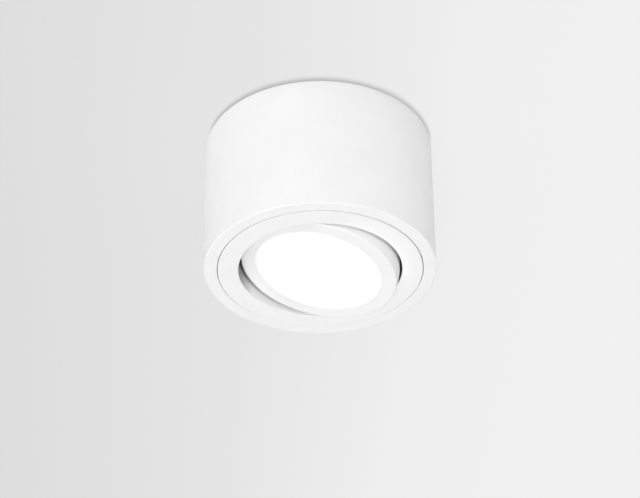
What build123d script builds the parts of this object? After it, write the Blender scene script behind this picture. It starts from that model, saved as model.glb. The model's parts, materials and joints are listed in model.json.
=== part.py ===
from build123d import *
import os
from math import cos, degrees, radians, sin, sqrt, tan

# Ceiling spotlight: a round housing on the ceiling, a bezel that turns in its front,
# and a light head that tilts in the bezel.
# Millimetres, +Z up. The origin is the centre of the ceiling plane, and the light hangs below it.

# Light module: a standard 50 mm insert, which sets the widths of all that goes round it
MODULE_DIAMETER = 50.0
MODULE_FLANGE = 2.5
MODULE_FLANGE_STEP = 1.2
MODULE_TAPER_ANGLE = 4.0
CHAMBER_RIM_WIDTH = 2.2
CHAMBER_TAPER_RUN = 4.3
CHAMBER_DEPTH = 7.6
MODULE_FLOOR = 2.5
DRIVER_BAY_WALL = 4.4
DRIVER_BAY_DEPTH = 12.5
FIN_SLOTS = 24
FIN_SLOT_WIDTH = 1.6
FIN_SLOT_DEPTH = 1.6
FIN_SLOT_MARGIN = 2.0
COVER_POST_DIAMETER = 4.8
COVER_POST_BLEND = 0.8
BOARD_POST_DIAMETER = 4.2
BOARD_POST_HEIGHT = 2.5
BOARD_POST_INSET = 2.8
BOARD_POSTS = 2

# Light source in the front chamber
DIFFUSER_FLANGE = 1.1
WINDOW_GAP = 0.04
REFLECTOR_WALL = 0.8
REFLECTOR_GAP = 0.15
REFLECTOR_FOOT = 1.6
LED_BOARD_THICKNESS = 1.2
LED_BOARD_GAP = 0.5
PAD_THICKNESS = 0.4
PAD_MARGIN = 0.5
CHIP_LENGTH = 3.5
CHIP_WIDTH = 2.8
CHIP_HEIGHT = 0.7
INNER_CHIPS = 5
INNER_CHIP_RADIUS = 4.5
OUTER_CHIPS = 12
CHIP_SCREW_GAP = 0.25
BOARD_SCREW_GAP = 0.5
BOARD_SCREW_ANGLE = 15.0
BOARD_SCREWS = 2
BOARD_SCREW_LENGTH = 3.6

# Driver in the rear bay
DRIVER_BOARD_GAP = 0.6
DRIVER_BOARD_THICKNESS = 1.6
STORAGE_DIAMETER = 6.4
STORAGE_HEIGHT = 6.4
STORAGE_NECK = 0.5
STORAGE_PLACE = (4.0, -7.4)
FILM_LENGTH = 7.2
FILM_WIDTH = 3.4
FILM_HEIGHT = 5.8
FILM_EDGE = 0.5
FILM_PLACE = (-4.4, -7.0)
INDUCTOR_DIAMETER = 6.0
INDUCTOR_WAIST = 3.6
INDUCTOR_RIM = 1.0
INDUCTOR_HEIGHT = 5.2
INDUCTOR_PLACE = (-4.0, 6.6)
DRIVER_CHIP_LENGTH = 4.9
DRIVER_CHIP_WIDTH = 3.9
DRIVER_CHIP_HEIGHT = 1.7
DRIVER_CHIP_PLACES = ((4.6, 5.0), (2.6, 9.7))

# Rear cover and lead bush
COVER_THICKNESS = 1.6
COVER_EDGE = 0.6
COVER_SPIGOT_DEPTH = 1.4
COVER_SPIGOT_WALL = 1.2
COVER_FIT = 0.2
COVER_SCREWS = 3
COVER_SCREW_LENGTH = 6.0
BUSH_BORE = 3.6
BUSH_WALL = 1.6
BUSH_FIT = 0.05
BUSH_LIP = 1.2

# Light head and its tilt
TILT_SHOWN = 12.3
TILT_LIMIT = 25.0
PIVOT_HEIGHT = 3.0
FACE_PROUD = 0.3
FACE_PLATE = 1.6
FACE_EDGE = 0.5
WINDOW_LEDGE = 1.9
WINDOW_EDGE = 0.1
MODULE_CLEARANCE = 0.3
RING_WALL = 2.9
SKIRT_HEIGHT = 9.0
WIRE_DIAMETER = 1.6
WIRE_GROOVE_DEPTH = 0.7
WIRE_PLAY = 0.05
WIRE_GAP_ANGLE = 30.0
PIN_DIAMETER = 2.0
PIN_PRESS_GAP = 0.01
PIN_RUNNING_GAP = 0.05
PIN_END_GAP = 0.4
PIVOT_LAND_DIAMETER = 6.0
PIVOT_LAND_DEPTH = 0.25
WASHER_DIAMETER = 5.6
WASHER_THICKNESS = 0.55
WASHER_GAP = 0.2
WASHER_FIT = 0.1
STOP_PEG_DIAMETER = 2.0
STOP_PEG_HEIGHT = 6.2
STOP_PEG_END_GAP = 0.8
STOP_CLEARANCE = 0.15

# Bezel that turns in the housing
HEAD_GAP = 0.75
COLLAR_WALL = 2.1
COLLAR_HEIGHT = 9.5
COLLAR_ROOT = 0.8
BEZEL_PROUD = 0.2
BEZEL_FLANGE = 2.2
BEZEL_EDGE = 0.12
OPENING_EDGE = 0.3
BEZEL_OVERLAP = 2.1
SPIGOT_GAP = 0.3
SPIGOT_WALL = 1.5
SPIGOT_HEIGHT = 1.2
EAR_WIDTH = 7.0
EAR_DEPTH = 1.45
EAR_ROOM = 1.5

# Spring clips of the bezel
CLIP_ROOM = 3.05
CLIP_WIDTH = 9.0
CLIP_THICKNESS = 0.5
CLIP_FLAT_DEPTH = 0.45
CLIP_FLAT_MARGIN = 0.25
CLIP_FOOT_HEIGHT = 4.6
CLIP_TOP_HEIGHT = 12.3
CLIP_FOLD = 2.4
CLIP_BEND = 0.7
CLIP_CATCH = 0.85
CLIP_BULGE_RISE = 1.5
CLIP_TIP_RUN = 1.6
CLIP_FIT = 0.05
RIVET_DIAMETER = 2.0
RIVET_HEAD_DIAMETER = 3.6
RIVET_HEAD = 0.7
RIVET_SPACING = 4.6
RIVET_HEIGHT = 7.2
RIVET_INSET = 0.2
RIVET_FIT = 0.02

# Housing
HOUSING_HEIGHT = 53.0
GROOVE_WIDTH = 0.3
FRONT_RIM_WIDTH = 4.5
FRONT_EDGE = 0.35
CEILING_EDGE = 0.5
HOUSING_WALL = 2.8
HOUSING_LIP = 4.2
BEZEL_SEAT_GAP = 0.1
LIP_ROOT = 1.2
PLATE_SHOULDER = 0.7

# Back plate and the ring that locks it
PLATE_THICKNESS = 1.5
PLATE_FIT = 0.2
PLATE_STEP_RUN = 1.2
PLATE_STEP_MARGIN = 0.4
CIRCLIP_THICKNESS = 1.2
CIRCLIP_PLAY = 0.1
CIRCLIP_LAND = 0.7
CIRCLIP_GROOVE_DEPTH = 0.9
CIRCLIP_WIDTH = 2.8
CIRCLIP_GAP_ANGLE = 40.0
CIRCLIP_LUG_DIAMETER = 4.0
CIRCLIP_LUG_HOLE = 1.6
SLOT_SPACING = 54.0
SLOT_LENGTH = 10.5
SLOT_WIDTH = 4.5
DISH_DEPTH = 2.2
DISH_SLOPE = 2.0
DISH_MARGIN = 1.0

# Cable grommet
CABLE_BORE = 8.0
GROMMET_WALL = 2.0
GROMMET_FIT = 0.05
GROMMET_LIP = 2.2
GROMMET_UPPER_LIP = 1.2
GROMMET_LOWER_LIP = 1.5
GROMMET_NOSE = 1.8

# Supply terminal and protective earth
POLES = 3
POLE_PITCH = 8.4
POLE_WIDTH = 7.2
BLOCK_LENGTH = 16.0
BLOCK_HEIGHT = 10.5
BLOCK_WEB_HEIGHT = 6.0
BLOCK_WEB_LENGTH = 9.0
BLOCK_EDGE = 0.8
BLOCK_DISH_GAP = 0.5
BLOCK_EAR_LENGTH = 6.6
BLOCK_EAR_WIDTH = 7.0
BLOCK_EAR_HEIGHT = 3.0
BARREL_DIAMETER = 5.0
BARREL_BORE = 3.4
BARREL_END_GAP = 1.5
BARREL_FIT = 0.05
CLAMP_SCREW_DIAMETER = 2.6
CLAMP_SCREW_SPACING = 8.0
CLAMP_SCREW_SINK = 0.8
CLAMP_SCREW_FIT = 0.1
BLOCK_SCREW_DIAMETER = 3.0
EARTH_PLACE = (12.0, -17.0)
EARTH_SCREW_DIAMETER = 4.0
EARTH_WASHER_DIAMETER = 9.0
EARTH_WASHER_THICKNESS = 0.8
EARTH_WASHER_TEETH = 10
EARTH_TOOTH_GAP = 1.2
EARTH_TOOTH_DEPTH = 1.0

# Small screws share these proportions, and the clearance of a shank in its hole
SCREW_HEAD_RATIO = 1.9
SCREW_HEAD_HEIGHT_RATIO = 0.6
SCREW_SLOT_RATIO = 0.25
SCREW_FIT = 0.05
SCREW_TIP_GAP = 0.2
SMALL_SCREW_DIAMETER = 2.2
BOARD_SCREW_DIAMETER = 2.5

# Heights in the light head, counted up from the tilt axis
FACE_LEVEL = -PIVOT_HEIGHT - FACE_PROUD
RING_SEAT_LEVEL = FACE_LEVEL + FACE_PLATE
MODULE_FRONT_LEVEL = RING_SEAT_LEVEL + DIFFUSER_FLANGE
FLANGE_TOP_LEVEL = MODULE_FRONT_LEVEL + MODULE_FLANGE
CHAMBER_FLOOR_LEVEL = MODULE_FRONT_LEVEL + CHAMBER_DEPTH
PAD_LEVEL = CHAMBER_FLOOR_LEVEL - PAD_THICKNESS
LED_BOARD_LEVEL = PAD_LEVEL - LED_BOARD_THICKNESS
BAY_FLOOR_LEVEL = CHAMBER_FLOOR_LEVEL + MODULE_FLOOR
DRIVER_BOARD_LEVEL = BAY_FLOOR_LEVEL + BOARD_POST_HEIGHT
DRIVER_TOP_LEVEL = DRIVER_BOARD_LEVEL + DRIVER_BOARD_THICKNESS
MODULE_BACK_LEVEL = BAY_FLOOR_LEVEL + DRIVER_BAY_DEPTH
COVER_TOP_LEVEL = MODULE_BACK_LEVEL + COVER_THICKNESS
COVER_POST_TOP_LEVEL = MODULE_BACK_LEVEL - COVER_SPIGOT_DEPTH - COVER_FIT
WIRE_LEVEL = FLANGE_TOP_LEVEL + WIRE_DIAMETER / 2 + WIRE_PLAY

# Radii from the module outwards
MODULE_RADIUS = MODULE_DIAMETER / 2
RING_BORE_RADIUS = MODULE_RADIUS + MODULE_CLEARANCE
HEAD_RADIUS = RING_BORE_RADIUS + RING_WALL
FACE_RADIUS = sqrt(HEAD_RADIUS**2 - FACE_LEVEL**2)
SKIRT_RADIUS = sqrt(HEAD_RADIUS**2 - SKIRT_HEIGHT**2)
WINDOW_RADIUS = MODULE_RADIUS - WINDOW_LEDGE
OPENING_RADIUS = HEAD_RADIUS + HEAD_GAP
COLLAR_RADIUS = OPENING_RADIUS + COLLAR_WALL
EAR_RADIUS = COLLAR_RADIUS + EAR_DEPTH
CLIP_FLAT = COLLAR_RADIUS - CLIP_FLAT_DEPTH
FRONT_HOLE_RADIUS = COLLAR_RADIUS + CLIP_ROOM
BEZEL_RADIUS = FRONT_HOLE_RADIUS + BEZEL_OVERLAP
REBATE_RADIUS = BEZEL_RADIUS + GROOVE_WIDTH
HOUSING_RADIUS = REBATE_RADIUS + FRONT_RIM_WIDTH
HOUSING_BORE_RADIUS = HOUSING_RADIUS - HOUSING_WALL
PLATE_BORE_RADIUS = HOUSING_BORE_RADIUS + PLATE_SHOULDER
PLATE_RADIUS = PLATE_BORE_RADIUS - PLATE_FIT
CIRCLIP_GROOVE_RADIUS = PLATE_BORE_RADIUS + CIRCLIP_GROOVE_DEPTH
CIRCLIP_RADIUS = CIRCLIP_GROOVE_RADIUS - CIRCLIP_PLAY
CIRCLIP_LUG_CENTRE = CIRCLIP_RADIUS - CIRCLIP_LUG_DIAMETER / 2 - CIRCLIP_PLAY

# Radii inside the module
MODULE_TAPER_RUN = (MODULE_BACK_LEVEL - FLANGE_TOP_LEVEL) * tan(radians(MODULE_TAPER_ANGLE))
BODY_RADIUS = MODULE_RADIUS - MODULE_FLANGE_STEP
BACK_RADIUS = BODY_RADIUS - MODULE_TAPER_RUN
CHAMBER_MOUTH_RADIUS = MODULE_RADIUS - CHAMBER_RIM_WIDTH
CHAMBER_FLOOR_RADIUS = CHAMBER_MOUTH_RADIUS - CHAMBER_TAPER_RUN
BAY_RADIUS = BACK_RADIUS - DRIVER_BAY_WALL
COVER_POST_CENTRE = BAY_RADIUS - COVER_POST_DIAMETER / 2 + COVER_POST_BLEND
DRIVER_BOARD_RADIUS = COVER_POST_CENTRE - COVER_POST_DIAMETER / 2 - DRIVER_BOARD_GAP
BOARD_POST_CENTRE = DRIVER_BOARD_RADIUS - BOARD_POST_INSET
LED_BOARD_RADIUS = CHAMBER_FLOOR_RADIUS - LED_BOARD_GAP
BOARD_SCREW_HEAD_RADIUS = BOARD_SCREW_DIAMETER * SCREW_HEAD_RATIO / 2
BOARD_SCREW_CENTRE = LED_BOARD_RADIUS - REFLECTOR_FOOT - BOARD_SCREW_GAP - BOARD_SCREW_HEAD_RADIUS
OUTER_CHIP_RADIUS = BOARD_SCREW_CENTRE - BOARD_SCREW_HEAD_RADIUS - CHIP_SCREW_GAP - CHIP_WIDTH / 2
BUSH_RADIUS = BUSH_BORE / 2 + BUSH_WALL

# Places on the back plate
GROMMET_NECK_RADIUS = CABLE_BORE / 2 + GROMMET_WALL
DISH_RADIUS = GROMMET_NECK_RADIUS + GROMMET_LIP + DISH_MARGIN
BLOCK_OFFSET = DISH_RADIUS + DISH_SLOPE + BLOCK_DISH_GAP + BLOCK_LENGTH / 2
BLOCK_PLACE = Pos(0, BLOCK_OFFSET, -PLATE_THICKNESS)
POLE_PLACES = [(pole - (POLES - 1) / 2) * POLE_PITCH for pole in range(POLES)]
BLOCK_END = (POLES - 1) / 2 * POLE_PITCH + POLE_WIDTH / 2
BLOCK_EAR_CENTRE = BLOCK_END + BLOCK_EAR_LENGTH / 2
BARREL_LEVEL = -BLOCK_HEIGHT / 2

# Heights in the whole light
FRONT_LEVEL = -HOUSING_HEIGHT
PIVOT_LEVEL = FRONT_LEVEL + PIVOT_HEIGHT
BEZEL_FRONT_LEVEL = FRONT_LEVEL - BEZEL_PROUD
BEZEL_TOP_LEVEL = BEZEL_FRONT_LEVEL + BEZEL_FLANGE
LIP_TOP_LEVEL = FRONT_LEVEL + HOUSING_LIP
COLLAR_TOP_LEVEL = FRONT_LEVEL + COLLAR_HEIGHT
CIRCLIP_LEVEL = -CIRCLIP_LAND - CIRCLIP_THICKNESS - CIRCLIP_PLAY
PLATE_RIM_LEVEL = CIRCLIP_LEVEL - PLATE_THICKNESS
DISH_LEVEL = -DISH_DEPTH

HEAD_PLACE = Pos(0, 0, PIVOT_LEVEL) * Rot(0, TILT_SHOWN, 0)
STANDING = (Align.CENTER, Align.CENTER, Align.MIN)
UPSIDE_DOWN = Rot(180, 0, 0)


def outline(*lines):
    """Closed face from lines and arcs given as (radius, height)."""
    return make_face([edge for line in lines for edge in line.edges()])


def eased(profile, corner, radius):
    """The profile with its corner nearest to a point rounded."""
    nearest = profile.vertices().sort_by_distance(Vector(*corner, 0))[0]
    return fillet(nearest, radius)


def turned(profile):
    """Solid of revolution about Z of a (radius, height) profile."""
    return revolve(Plane.XZ * profile, Axis.Z)


def drum(radius, low, high):
    """Upright cylinder between two heights."""
    return Pos(0, 0, low) * Cylinder(radius, high - low, align=STANDING)


def block(length, width, low, high):
    """Upright box between two heights."""
    return Pos(0, 0, low) * Box(length, width, high - low, align=STANDING)


def along_y(profile, start, end):
    """A profile drawn as (x, height), extruded from one y to a larger one."""
    face = Plane(origin=(0, end, 0), x_dir=(1, 0, 0), z_dir=(0, -1, 0)) * profile
    return extrude(face, end - start)


def rod_y(radius, height, start, end):
    """Cylinder along Y at a height, between two places on that axis."""
    return along_y(Pos(0, height) * Circle(radius), start, end)


def opposite(shape):
    """A shape and its copy half a turn round the vertical axis."""
    return [shape, Rot(0, 0, 180) * shape]


def group(shapes):
    """Separate solids that share one node."""
    return Compound(children=[solid for shape in shapes for solid in shape.solids()])


def pan_screw(diameter, length):
    """Slotted pan head screw with its shank up from z = 0 and its head below."""
    head_radius = diameter * SCREW_HEAD_RATIO / 2
    head_height = diameter * SCREW_HEAD_HEIGHT_RATIO
    slot = block(2 * head_radius, diameter * SCREW_SLOT_RATIO, -head_height, -head_height / 2)
    return drum(diameter / 2, 0, length) + drum(head_radius, -head_height, 0) - slot


def chamber_radius(level):
    """Radius of the tapered front chamber at a height in the head."""
    return CHAMBER_MOUTH_RADIUS - CHAMBER_TAPER_RUN * (level - MODULE_FRONT_LEVEL) / CHAMBER_DEPTH


# Housing and what is fixed in it
def make_housing():
    """Turned tube with a front lip, a rebate for the bezel and a seat for the back plate."""
    rebate_level = BEZEL_TOP_LEVEL + BEZEL_SEAT_GAP
    profile = outline(Polyline(
        (REBATE_RADIUS, FRONT_LEVEL),
        (HOUSING_RADIUS, FRONT_LEVEL),
        (HOUSING_RADIUS, 0),
        (PLATE_BORE_RADIUS, 0),
        (PLATE_BORE_RADIUS, -CIRCLIP_LAND),
        (CIRCLIP_GROOVE_RADIUS, -CIRCLIP_LAND),
        (CIRCLIP_GROOVE_RADIUS, CIRCLIP_LEVEL),
        (PLATE_BORE_RADIUS, CIRCLIP_LEVEL),
        (PLATE_BORE_RADIUS, PLATE_RIM_LEVEL),
        (HOUSING_BORE_RADIUS, PLATE_RIM_LEVEL),
        (HOUSING_BORE_RADIUS, LIP_TOP_LEVEL),
        (FRONT_HOLE_RADIUS, LIP_TOP_LEVEL),
        (FRONT_HOLE_RADIUS, rebate_level),
        (REBATE_RADIUS, rebate_level),
        close=True,
    ))
    profile = eased(profile, (HOUSING_RADIUS, FRONT_LEVEL), FRONT_EDGE)
    profile = eased(profile, (HOUSING_RADIUS, 0), CEILING_EDGE)
    profile = eased(profile, (HOUSING_BORE_RADIUS, LIP_TOP_LEVEL), LIP_ROOT)
    profile = eased(profile, (REBATE_RADIUS, FRONT_LEVEL), BEZEL_EDGE)
    return turned(profile)


def make_back_plate():
    """Pressed plate: a rim under the lock ring, a raised face on the ceiling, a dished centre."""
    step_radius = CIRCLIP_LUG_CENTRE - CIRCLIP_LUG_DIAMETER / 2 - PLATE_STEP_MARGIN
    upper = [
        (GROMMET_NECK_RADIUS + GROMMET_FIT, DISH_LEVEL),
        (DISH_RADIUS, DISH_LEVEL),
        (DISH_RADIUS + DISH_SLOPE, 0),
        (step_radius - PLATE_STEP_RUN, 0),
        (step_radius, CIRCLIP_LEVEL),
        (PLATE_RADIUS, CIRCLIP_LEVEL),
    ]
    lower = [(radius, level - PLATE_THICKNESS) for radius, level in reversed(upper)]
    plate = turned(outline(Polyline(*upper, *lower, close=True)))
    slot = extrude(SlotOverall(SLOT_LENGTH, SLOT_WIDTH), PLATE_THICKNESS, both=True)
    screw_hole = drum(BLOCK_SCREW_DIAMETER / 2 + SCREW_FIT, -PLATE_THICKNESS, 0)
    earth_hole = drum(EARTH_SCREW_DIAMETER / 2 + SCREW_FIT, -PLATE_THICKNESS, 0)
    for side in (-1, 1):
        plate -= Pos(side * SLOT_SPACING / 2, 0, 0) * slot
        plate -= Pos(side * BLOCK_EAR_CENTRE, BLOCK_OFFSET, 0) * screw_hole
    return plate - Pos(*EARTH_PLACE, 0) * earth_hole


def make_plate_circlip():
    """Open lock ring with two drilled lugs, sprung into the groove above the plate's rim."""
    ring = Circle(CIRCLIP_RADIUS) - Circle(CIRCLIP_RADIUS - CIRCLIP_WIDTH)
    half_gap = radians(CIRCLIP_GAP_ANGLE / 2)
    far = 2 * CIRCLIP_RADIUS
    corner = (far * sin(half_gap), far * cos(half_gap))
    ring -= outline(Polyline((0, 0), corner, (-corner[0], corner[1]), close=True))
    lug_angle = degrees(half_gap + CIRCLIP_LUG_DIAMETER / 2 / CIRCLIP_LUG_CENTRE)
    for side in (-1, 1):
        lug = Rot(0, 0, 90 + side * lug_angle) * Pos(CIRCLIP_LUG_CENTRE, 0)
        ring += lug * Circle(CIRCLIP_LUG_DIAMETER / 2)
        ring -= lug * Circle(CIRCLIP_LUG_HOLE / 2)
    return Pos(0, 0, CIRCLIP_LEVEL + CIRCLIP_PLAY / 2) * extrude(ring, CIRCLIP_THICKNESS)


def make_cable_grommet():
    """Rubber bush that grips the edge of the plate's centre hole, with a tapered nose inside."""
    bore = CABLE_BORE / 2
    neck = GROMMET_NECK_RADIUS
    lip = neck + GROMMET_LIP
    under = DISH_LEVEL - PLATE_THICKNESS
    lip_end = under - GROMMET_LOWER_LIP
    nose_end = lip_end - GROMMET_NOSE
    return turned(outline(Polyline(
        (bore, DISH_LEVEL + GROMMET_UPPER_LIP),
        (lip, DISH_LEVEL + GROMMET_UPPER_LIP),
        (lip, DISH_LEVEL),
        (neck, DISH_LEVEL),
        (neck, under),
        (lip, under),
        (lip, lip_end),
        (neck, lip_end),
        (bore + GROMMET_WALL / 2, nose_end),
        (bore, nose_end),
        close=True,
    )))


# Supply terminal, hung under the back plate
def make_terminal_block():
    """Moulded strip: a tower to each pole, low webs between, a fixing ear at each end."""
    body = block(2 * BLOCK_END, BLOCK_WEB_LENGTH, -BLOCK_WEB_HEIGHT, 0)
    body += block(2 * (BLOCK_END + BLOCK_EAR_LENGTH), BLOCK_EAR_WIDTH, -BLOCK_EAR_HEIGHT, 0)
    tower = block(POLE_WIDTH, BLOCK_LENGTH, -BLOCK_HEIGHT, 0)
    lower_edges = tower.edges().filter_by(Axis.Y).group_by(Axis.Z)[0]
    tower = fillet(lower_edges, BLOCK_EDGE)
    barrel_hole = rod_y(BARREL_DIAMETER / 2 + BARREL_FIT, BARREL_LEVEL, -BLOCK_LENGTH, BLOCK_LENGTH)
    clamp_hole = drum(CLAMP_SCREW_DIAMETER / 2 + CLAMP_SCREW_FIT, -BLOCK_HEIGHT, BARREL_LEVEL)
    for place in POLE_PLACES:
        body += Pos(place, 0, 0) * tower
    for place in POLE_PLACES:
        body -= Pos(place, 0, 0) * barrel_hole
        for side in (-1, 1):
            body -= Pos(place, side * CLAMP_SCREW_SPACING / 2, 0) * clamp_hole
    screw_hole = drum(BLOCK_SCREW_DIAMETER / 2 + SCREW_FIT, -BLOCK_EAR_HEIGHT, 0)
    for side in (-1, 1):
        body -= Pos(side * BLOCK_EAR_CENTRE, 0, 0) * screw_hole
    return BLOCK_PLACE * body


def make_terminal_barrels():
    """Brass tubes that join the wires, one to a pole, drilled for their clamp screws."""
    half = BLOCK_LENGTH / 2 - BARREL_END_GAP
    barrel = rod_y(BARREL_DIAMETER / 2, BARREL_LEVEL, -half, half)
    barrel -= rod_y(BARREL_BORE / 2, BARREL_LEVEL, -half, half)
    clamp_hole = drum(CLAMP_SCREW_DIAMETER / 2 + CLAMP_SCREW_FIT, -BLOCK_HEIGHT, BARREL_LEVEL)
    for side in (-1, 1):
        barrel -= Pos(0, side * CLAMP_SCREW_SPACING / 2, 0) * clamp_hole
    return group([BLOCK_PLACE * Pos(place, 0, 0) * barrel for place in POLE_PLACES])


def make_terminal_screws():
    """Slotted clamp screws, two to a pole, sunk in the towers."""
    low = CLAMP_SCREW_SINK - BLOCK_HEIGHT
    radius = CLAMP_SCREW_DIAMETER / 2
    screw = drum(radius, low, BARREL_LEVEL)
    screw -= block(2 * radius, CLAMP_SCREW_DIAMETER * SCREW_SLOT_RATIO, low, low + radius)
    places = [
        Pos(place, side * CLAMP_SCREW_SPACING / 2, 0)
        for place in POLE_PLACES
        for side in (-1, 1)
    ]
    return group([BLOCK_PLACE * place * screw for place in places])


def make_block_screws():
    """Screws up through the terminal's ears into the back plate."""
    screw = pan_screw(BLOCK_SCREW_DIAMETER, BLOCK_EAR_HEIGHT + PLATE_THICKNESS - SCREW_TIP_GAP)
    seat = Pos(0, 0, -BLOCK_EAR_HEIGHT)
    return group([BLOCK_PLACE * Pos(side * BLOCK_EAR_CENTRE, 0, 0) * seat * screw for side in (-1, 1)])


def make_earth_washer():
    """Toothed lock washer under the earth screw's head."""
    radius = EARTH_WASHER_DIAMETER / 2
    washer = drum(radius, -EARTH_WASHER_THICKNESS, 0)
    washer -= drum(EARTH_SCREW_DIAMETER / 2 + SCREW_FIT, -EARTH_WASHER_THICKNESS, 0)
    gap = block(2 * EARTH_TOOTH_DEPTH, EARTH_TOOTH_GAP, -EARTH_WASHER_THICKNESS, 0)
    washer -= [place * gap for place in PolarLocations(radius, EARTH_WASHER_TEETH)]
    return Pos(*EARTH_PLACE, -PLATE_THICKNESS) * washer


def make_earth_screw():
    """Earth terminal screw up into the back plate."""
    stack = EARTH_WASHER_THICKNESS + PLATE_THICKNESS
    seat = Pos(*EARTH_PLACE, -stack)
    return seat * pan_screw(EARTH_SCREW_DIAMETER, stack - SCREW_TIP_GAP)


# Bezel and what turns with it
def make_bezel_ring():
    """Front ring with a collar for the head, pivot ears, clip flats and stop notches."""
    spigot_radius = FRONT_HOLE_RADIUS - SPIGOT_GAP
    spigot_level = BEZEL_TOP_LEVEL + SPIGOT_HEIGHT
    profile = outline(Polyline(
        (OPENING_RADIUS, BEZEL_FRONT_LEVEL),
        (BEZEL_RADIUS, BEZEL_FRONT_LEVEL),
        (BEZEL_RADIUS, BEZEL_TOP_LEVEL),
        (spigot_radius, BEZEL_TOP_LEVEL),
        (spigot_radius, spigot_level),
        (spigot_radius - SPIGOT_WALL, spigot_level),
        (spigot_radius - SPIGOT_WALL, BEZEL_TOP_LEVEL),
        (COLLAR_RADIUS, BEZEL_TOP_LEVEL),
        (COLLAR_RADIUS, COLLAR_TOP_LEVEL),
        (OPENING_RADIUS, COLLAR_TOP_LEVEL),
        close=True,
    ))
    profile = eased(profile, (BEZEL_RADIUS, BEZEL_FRONT_LEVEL), BEZEL_EDGE)
    profile = eased(profile, (OPENING_RADIUS, BEZEL_FRONT_LEVEL), OPENING_EDGE)
    profile = eased(profile, (COLLAR_RADIUS, BEZEL_TOP_LEVEL), COLLAR_ROOT)
    ring = turned(profile)
    room = block(EAR_WIDTH + 2 * EAR_ROOM, 2 * FRONT_HOLE_RADIUS, BEZEL_TOP_LEVEL, spigot_level)
    ring -= room - drum(COLLAR_RADIUS + COLLAR_ROOT, BEZEL_TOP_LEVEL, spigot_level)
    ear_face = Pos(0, PIVOT_LEVEL) * Circle(EAR_WIDTH / 2)
    ear_face += Pos(0, PIVOT_LEVEL) * Rectangle(EAR_WIDTH, EAR_WIDTH, align=(Align.CENTER, Align.MAX))
    ear = along_y(ear_face, OPENING_RADIUS, EAR_RADIUS)
    ear -= drum(OPENING_RADIUS + COLLAR_WALL / 2, FRONT_LEVEL - EAR_WIDTH, COLLAR_TOP_LEVEL)
    ear -= block(2 * EAR_WIDTH, 2 * EAR_RADIUS, FRONT_LEVEL - EAR_WIDTH, BEZEL_TOP_LEVEL)
    ring += opposite(ear)
    pin_hole = rod_y(PIN_DIAMETER / 2 + PIN_PRESS_GAP, PIVOT_LEVEL, 0, EAR_RADIUS)
    swing = STOP_PEG_HEIGHT * sin(radians(TILT_LIMIT))
    notch_half = swing + STOP_PEG_DIAMETER / 2 + STOP_CLEARANCE
    notch_drop = STOP_PEG_DIAMETER / 2 + 2 * STOP_CLEARANCE
    notch_level = PIVOT_LEVEL + STOP_PEG_HEIGHT * cos(radians(TILT_LIMIT)) - notch_drop
    notch = block(2 * notch_half, 2 * COLLAR_RADIUS, notch_level, COLLAR_TOP_LEVEL)
    clip_flat = Pos(CLIP_FLAT + COLLAR_WALL / 2, 0, 0) * block(
        COLLAR_WALL,
        CLIP_WIDTH + 2 * CLIP_FLAT_MARGIN,
        FRONT_LEVEL + CLIP_FOOT_HEIGHT - CLIP_FLAT_MARGIN,
        COLLAR_TOP_LEVEL,
    )
    ring -= opposite(pin_hole)
    ring -= notch
    ring -= opposite(clip_flat)
    for hole in rivet_rods(RIVET_DIAMETER / 2 + RIVET_FIT, CLIP_FLAT):
        ring -= opposite(hole)
    return ring


def rivet_rods(radius, end):
    """Rods along X at the rivet places of the right clip, from inside the collar to an end."""
    start = OPENING_RADIUS + RIVET_INSET
    rod = Rot(0, 90, 0) * Cylinder(radius, end - start, align=STANDING)
    level = FRONT_LEVEL + RIVET_HEIGHT
    return [Pos(start, side * RIVET_SPACING / 2, level) * rod for side in (-1, 1)]


def make_spring_clip():
    """Right leaf spring: a foot on the collar, folded over the top, with a catch above the lip."""
    foot = CLIP_FLAT + CLIP_FIT + CLIP_THICKNESS / 2
    top_level = FRONT_LEVEL + CLIP_TOP_HEIGHT
    bulge = FRONT_HOLE_RADIUS + CLIP_CATCH
    bulge_level = LIP_TOP_LEVEL + CLIP_BULGE_RISE
    strip = FilletPolyline(
        (foot, FRONT_LEVEL + CLIP_FOOT_HEIGHT),
        (foot, top_level),
        (foot + CLIP_FOLD, top_level),
        (bulge, bulge_level),
        (bulge - CLIP_TIP_RUN, bulge_level - CLIP_TIP_RUN),
        radius=CLIP_BEND,
    )
    clip = along_y(trace(strip, CLIP_THICKNESS), -CLIP_WIDTH / 2, CLIP_WIDTH / 2)
    for hole in rivet_rods(RIVET_DIAMETER / 2 + RIVET_FIT, foot + CLIP_THICKNESS):
        clip -= hole
    return clip


def make_clip_rivets():
    """Drive rivets that hold the clips' feet, two to a clip."""
    head_seat = CLIP_FLAT + CLIP_FIT + CLIP_THICKNESS
    head = Rot(0, 90, 0) * Cylinder(RIVET_HEAD_DIAMETER / 2, RIVET_HEAD, align=STANDING)
    level = FRONT_LEVEL + RIVET_HEIGHT
    rivets = []
    for side, shank in zip((-1, 1), rivet_rods(RIVET_DIAMETER / 2, head_seat)):
        rivet = shank + Pos(head_seat, side * RIVET_SPACING / 2, level) * head
        rivets += opposite(rivet)
    return group(rivets)


def make_pivot_pins():
    """Dowels pressed in the bezel's ears, on which the head tilts."""
    pin = rod_y(PIN_DIAMETER / 2, PIVOT_LEVEL, RING_BORE_RADIUS + PIN_END_GAP, EAR_RADIUS)
    return group(opposite(pin))


def make_friction_washers():
    """Thin washers on the pins, between the collar and the head."""
    start = HEAD_RADIUS - PIVOT_LAND_DEPTH + WASHER_GAP
    end = start + WASHER_THICKNESS
    washer = rod_y(WASHER_DIAMETER / 2, PIVOT_LEVEL, start, end)
    washer -= rod_y(PIN_DIAMETER / 2 + WASHER_FIT, PIVOT_LEVEL, start, end)
    return group(opposite(washer))


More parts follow.
